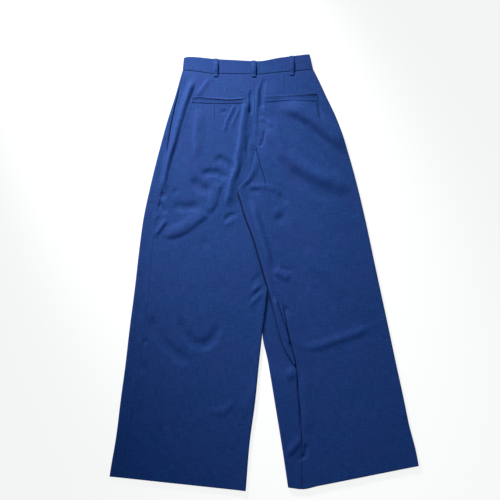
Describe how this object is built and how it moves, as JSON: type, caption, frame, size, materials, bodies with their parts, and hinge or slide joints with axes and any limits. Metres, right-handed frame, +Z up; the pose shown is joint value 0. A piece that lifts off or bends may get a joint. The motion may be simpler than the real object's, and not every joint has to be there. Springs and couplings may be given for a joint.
{
  "type": "double-pleated trousers",
  "caption": "Wide-legged pleated trousers lying flat with the back up: waistband with belt loops, welt back pockets, side seams and deep turned-up hems.",
  "frame": {"origin": "centre of the footprint, on the floor that the trousers lie on", "axes": "+X to the viewer's right, +Y from the hems up to the waist, +Z up from the floor; the back of the trousers faces +Z"},
  "size_m": [0.745, 1.1103, 0.0093],
  "materials": {
    "suiting": "matt fine plain weave",
    "suiting_trim": "matt fine plain weave, two layers sewn together"
  },
  "bodies": {
    "root": {"front_left": "suiting", "front_right": "suiting", "back_left": "suiting", "back_right": "suiting", "right_leg_fold": "suiting", "waistband": "suiting_trim", "welt_back_left": "suiting_trim", "welt_back_right": "suiting_trim", "fly_flap": "suiting_trim", "belt_loop_back_left": "suiting_trim", "belt_loop_back_centre": "suiting_trim", "belt_loop_back_right": "suiting_trim", "belt_loop_front_left": "suiting_trim", "belt_loop_front_right": "suiting_trim"}
  },
  "joints": []
}
